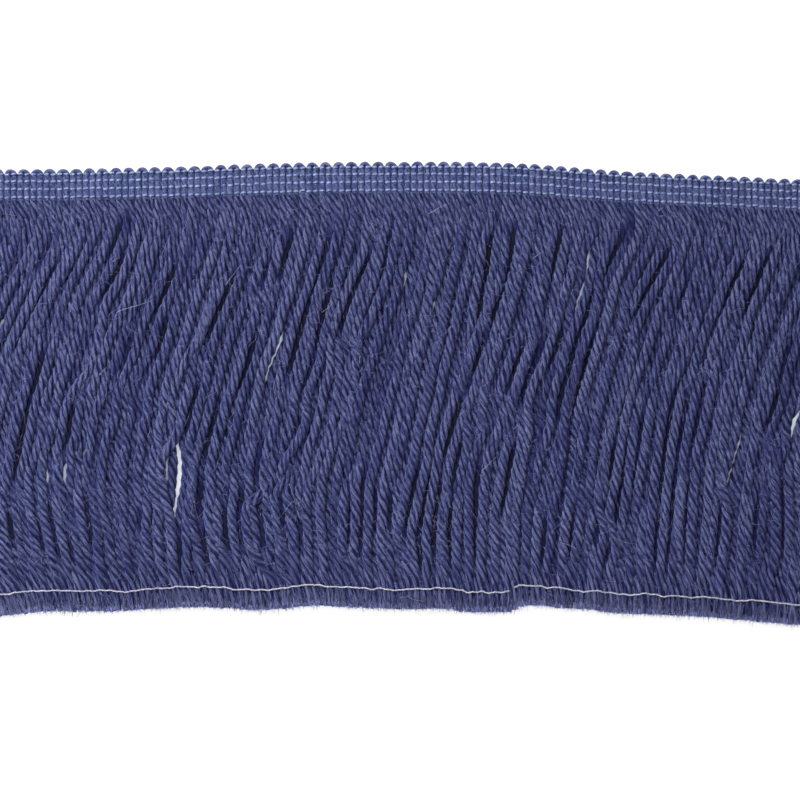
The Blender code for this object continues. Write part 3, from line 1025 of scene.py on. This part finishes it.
def make_chains(material):
    """The four binding chains: a raised stitch on every leg, a loop below it, and the back."""
    rng = np.random.default_rng(9)
    steps = np.arange(LEGS * CHAIN_STEPS + 1) / CHAIN_STEPS
    leg = np.minimum(np.floor(steps).astype(int), LEGS - 1)
    x = TRIM_START + steps * COURSE
    phase = steps % 1.0
    crest = ease(np.clip((0.42 - np.abs(phase - 0.5)) / 0.2, 0, 1))
    wave = 0.5 - 0.5 * np.cos(TURN * (phase - 0.1))
    for number, up in enumerate(CHAIN_LINES, start=1):
        middle = lie("edge", x) + up * MM
        shift, lift = (rng.standard_normal(LEGS)[leg] for _ in range(2))
        bright = 1 + 0.12 * rng.standard_normal(LEGS)[leg]
        y = middle + crest * (STITCH_SLANT * (phase - 0.5) + 0.06 * MM * shift)
        z = STITCH_LOW + (STITCH_HIGH - STITCH_LOW) * crest * (1 + 0.04 * lift)
        thick = STITCH_RADIUS * (0.6 + 0.4 * crest)
        # Painted shade: the stitch is darker where it dips between the legs
        stitch = thread_rings(to_points(x, y, z), thick, bright * (0.25 + 0.75 * crest))
        y = middle - LOOP_BELOW - 0.10 * MM * wave
        loop = to_points(x, y, LOOP_LOW + (LOOP_HIGH - LOOP_LOW) * wave)
        back = to_points(x, middle, BACK_HEIGHT + 0.12 * MM * crest)
        # Painted shade on the loop, darkest where it lies low
        parts = [
            stitch,
            thread_rings(loop, LOOP_RADIUS, 0.5 + 0.2 * wave),
            thread_rings(back, LOOP_RADIUS, 0.9 + 0 * wave),
        ]
        if number == 1:
            # Painted shade on this lowest loop too, darker where it lies low
            y = lie("edge", x) + 0.12 * MM + 0.05 * MM * wave
            under = to_points(x, y, LOOP_LOW + 0.7 * (LOOP_HIGH - LOOP_LOW) * wave)
            parts.append(thread_rings(under, LOOP_RADIUS, 0.7 + 0.15 * wave))
        plies = Plies(*(np.concatenate(field) for field in zip(*parts)))
        add_tubes(f"chain_{number}", plies, material, f"binding_chain_{number}")


def running_mean(values, count):
    """The mean of a count of values around each value."""
    return np.convolve(np.pad(values, count // 2, mode="edge"), np.full(count, 1 / count), "valid")


def make_holding_thread(lines, shares, material):
    """A fine twisted thread laid over the strands a little above their tips."""
    rng = np.random.default_rng(21)
    places = np.array([row.x for row in THREAD_LINE]) * MM
    x = np.arange(THREAD_START, THREAD_END, THREAD_STEP)
    y = running_mean(np.interp(x, places, np.array([row.y for row in THREAD_LINE]) * MM), 3)
    y = y + BENDS * ripples(rng, (0, 0), (40, 180), 7, 0, x)
    y = y + KINKS * ripples(rng, (0, 0), (250, 550), 9, 0, x)
    away = np.abs(lines[:, :, 0][..., None] - x) + 2 * np.abs(lines[:, :, 1][..., None] - y)
    tops = (lines[:, :, 2] + girth("height", shares) / 2)[..., None]
    tops = np.where(away < THREAD_NEAR, tops, 0).max((0, 1))
    tops = np.maximum(tops, running_mean(tops, 13))
    z = running_mean(tops, 5) + THREAD_LIFT
    z = z + THREAD_WAVES * ripples(rng, (0, 0), (100, 250), 5, 0, x)
    z = z - DIP_DEPTH * np.exp(-((x - DIP_AT) / DIP_WIDTH) ** 2)
    size = np.full(len(x), thickness(CREAM))
    plies = ply_rings(to_points(x, y, z)[None], CREAM, size, size, rng)
    add_tubes("holding_thread_plies", plies, material, "holding_thread")


def hair_tubes(lines, radius, rng, unevenness=0.12, light=1.0):
    """Fine fibres along lines of points, as tubes of three sides that thin out to their end."""
    thick = radius * np.linspace(1, 0.4, lines.shape[1])[:, None, None]
    rings, _ = tube_rings(lines, thick, 3)
    shape = rings.shape[:-1]
    tone = light * (1 + unevenness * rng.standard_normal((len(lines), 1, 1)))
    grain = np.broadcast_to(50 * rng.random((len(lines), 1, 1, 3)), rings.shape)
    return Plies(rings, np.broadcast_to(tone, shape), grain, np.ones(shape))


def curved(roots, ways, lengths, curl, count, rng):
    """Lines of points that start at roots, go their way and curl."""
    share = np.linspace(0, 1, count)[:, None]
    bends = rng.standard_normal((2, len(roots), 1, 3)) * curl
    path = ways[:, None] * share + bends[0] * share ** 2 + bends[1] * np.sin(TURN * share) / 5
    return roots[:, None] + path * np.reshape(lengths, (-1, 1, 1))


def on_strands(lines, shares, strand, place, turned):
    """Points on the strands' surface, with the directions outward and along, and a top limit.

    Each place counts the rings from the root, and may lie between two of them.
    """
    ring = np.floor(place).astype(int)
    part = (place - ring)[:, None]
    middle = lines[strand, ring] * (1 - part) + lines[strand, ring + 1] * part
    forward, side, up = (v[strand, ring] for v in frames(lines))
    wide, high = (
        np.interp(place, np.arange(RINGS), girth(name, shares))[:, None] / 2
        for name in ("width", "height")
    )
    out = np.cos(turned) * side * wide + np.sin(turned) * up * high
    tops = middle[:, 2] + high[:, 0] + HAIR_ABOVE
    return middle + out, unit(out), forward, np.maximum(tops, HAIR_FREE)


def make_fuzz(lines, shares, material):
    """Fine hairs standing off the strands."""
    rng = np.random.default_rng(33)
    strand = rng.integers(0, LEGS, FUZZ)
    ring = rng.integers(4, RINGS - 3, FUZZ)
    turned = rng.uniform(0.15, 0.85, (FUZZ, 1)) * np.pi
    roots, out, forward, tops = on_strands(lines, shares, strand, ring, turned)
    ways = 0.7 * out + forward * rng.standard_normal((FUZZ, 1))
    ways = unit(ways + 0.5 * rng.standard_normal((FUZZ, 3)))
    ways[:, 2] = np.abs(ways[:, 2]) * 0.6
    path = curved(roots, ways, rng.uniform(*FUZZ_LENGTH, FUZZ), 0.5, 4, rng)
    path[..., 2] = np.clip(path[..., 2], HAIR_LOW, tops[:, None])
    add_tubes("fuzz", hair_tubes(path, FUZZ_RADIUS, rng), material, "fringe")


def make_tip_hairs(lines, shares, materials):
    """Fibres of the opened ends: some lie in the band under the thread, some stand out of it."""
    rng = np.random.default_rng(34)
    for row, material in zip(TIP_HAIRS, materials):
        strand = rng.integers(0, LEGS, row.count)
        share = rng.uniform(row.first, row.last, row.count)
        place = np.interp(share, shares, np.arange(RINGS))
        turned = rng.uniform(0.0, 1.0, (row.count, 1)) * np.pi
        roots, _, forward, tops = on_strands(lines, shares, strand, place, turned)
        left = np.linalg.norm(lines[strand, -1] - lines[strand, 0], axis=-1) * (1 - share)
        ways = unit(forward + row.stray * rng.standard_normal((row.count, 3)))
        lengths = left + rng.uniform(row.least, row.most, row.count)
        path = curved(roots, ways, lengths, 0.15, 3, rng)
        path[..., 2] = np.clip(path[..., 2], HAIR_LOW, tops[:, None])
        # Painted light towards the hairs' ends and on top of each tuft, and painted shade at its
        # sides
        light = np.linspace(0.9, 1 + TIP_LIGHT, 3)[:, None]
        light = light * (TUFT_TOP_LIGHT - TUFT_SIDE_SHADE * np.cos(turned) ** 2)[:, :, None]
        hairs = hair_tubes(path, row.radius, rng, row.unevenness, light)
        add_tubes(row.name, hairs, material, "fringe")


def make_lint(lines, shares, material):
    """A few pale curled fibres caught on top of the strands."""
    rng = np.random.default_rng(8)
    tops = lines[:, :, 2] + girth("height", shares) / 2
    places = np.array([(row.x, row.y) for row in LINT]) * MM
    near = np.hypot(*(lines[None, :, :, k] - places[:, k, None, None] for k in (0, 1)))
    z = np.where(near < 2 * MM, tops, 0).max((1, 2)) + 0.15 * MM
    angle = np.radians([row.angle for row in LINT])
    ways = to_points(np.cos(angle), np.sin(angle), 0)
    lengths = np.array([row.length for row in LINT]) * MM
    curl = np.reshape([row.curl for row in LINT], (-1, 1, 1))
    path = curved(np.column_stack([places, z]), ways, lengths, curl, 16, rng)
    path[..., 2] = z[:, None] + 0.1 * (path[..., 2] - z[:, None])
    add_tubes("lint", hair_tubes(path, LINT_RADIUS, rng), material, "fringe")


def make_floor():
    """White paper that glows, with painted shade where the strands leave little sky above it."""
    bpy.ops.mesh.primitive_plane_add(size=6.0, location=(0, 0, -0.02 * MM))
    floor = bpy.context.object
    floor.name = "floor"
    material, nodes, _, shader = new_material("paper_white", 1.0)
    shader.inputs["Base Color"].default_value = (0.25, 0.25, 0.26, 1.0)
    shader.inputs["Emission Strength"].default_value = 1.0
    openness = nodes.new("ShaderNodeAmbientOcclusion")
    openness.samples = 16
    openness.inputs["Distance"].default_value = 8 * MM
    colour_by(material, openness.outputs["AO"], FLOOR_GLOW, shader.inputs["Emission Color"])
    floor.data.materials.append(material)


def add_area_light(row):
    """A round soft light that faces its aim."""
    data = bpy.data.lights.new(row.name, "AREA")
    data.shape = "DISK"
    data.size = row.size
    data.spread = np.radians(row.spread)
    data.energy = row.power
    light = bpy.data.objects.new(row.name, data)
    light.location = row.place
    bpy.context.scene.collection.objects.link(light)
    away = light.location - Vector(row.aim)
    light.rotation_euler = away.to_track_quat("Z", "Y").to_euler()


def make_light():
    for row in LIGHTS:
        add_area_light(row)
    world = bpy.data.worlds.new("studio")
    bpy.context.scene.world = world
    world.use_nodes = True
    background = world.node_tree.nodes["Background"]
    background.inputs["Color"].default_value = (1.0, 1.0, 1.0, 1.0)
    background.inputs["Strength"].default_value = STUDIO_LIGHT


def make_camera():
    data = bpy.data.cameras.new("camera")
    data.sensor_width = 36.0
    data.lens = data.sensor_width * CAMERA_HEIGHT / VIEW_WIDTH
    data.clip_end = 20.0
    camera = bpy.data.objects.new("camera", data)
    camera.location = (0.0, CAMERA_Y, CAMERA_HEIGHT + 3 * MM)
    bpy.context.scene.collection.objects.link(camera)
    bpy.context.scene.camera = camera


make_camera()
make_light()
make_floor()
bpy.context.scene.view_settings.view_transform = "Standard"
wool = yarn_material("wool", WOOL_COLOURS, fineness=(3.2, 3.2, 0.8), sheen=0.2)
heading_wool = yarn_material("heading_wool", HEADING_COLOURS, fineness=(3.2, 3.2, 0.5), sheen=0.2)
cream = yarn_material("cream", CREAM_COLOURS, fineness=(10.0, 10.0, 2.0), sheen=0.1)
hair = plain_material("hair", HAIR_COLOUR)
tip_hair = plain_material("tip_hair", TIP_HAIR_COLOUR)
pale = plain_material("pale_fibre", LINT_COLOUR)
binding = thread_material()
strand_lines, strand_shares, strand_shade = settle_strands()
make_strands(strand_lines, strand_shares, strand_shade, wool)
make_heading_yarn(heading_wool)
make_chains(binding)
make_holding_thread(strand_lines, strand_shares, cream)
make_fuzz(strand_lines, strand_shares, hair)
make_tip_hairs(strand_lines, strand_shares, (wool, tip_hair))
make_lint(strand_lines, strand_shares, pale)
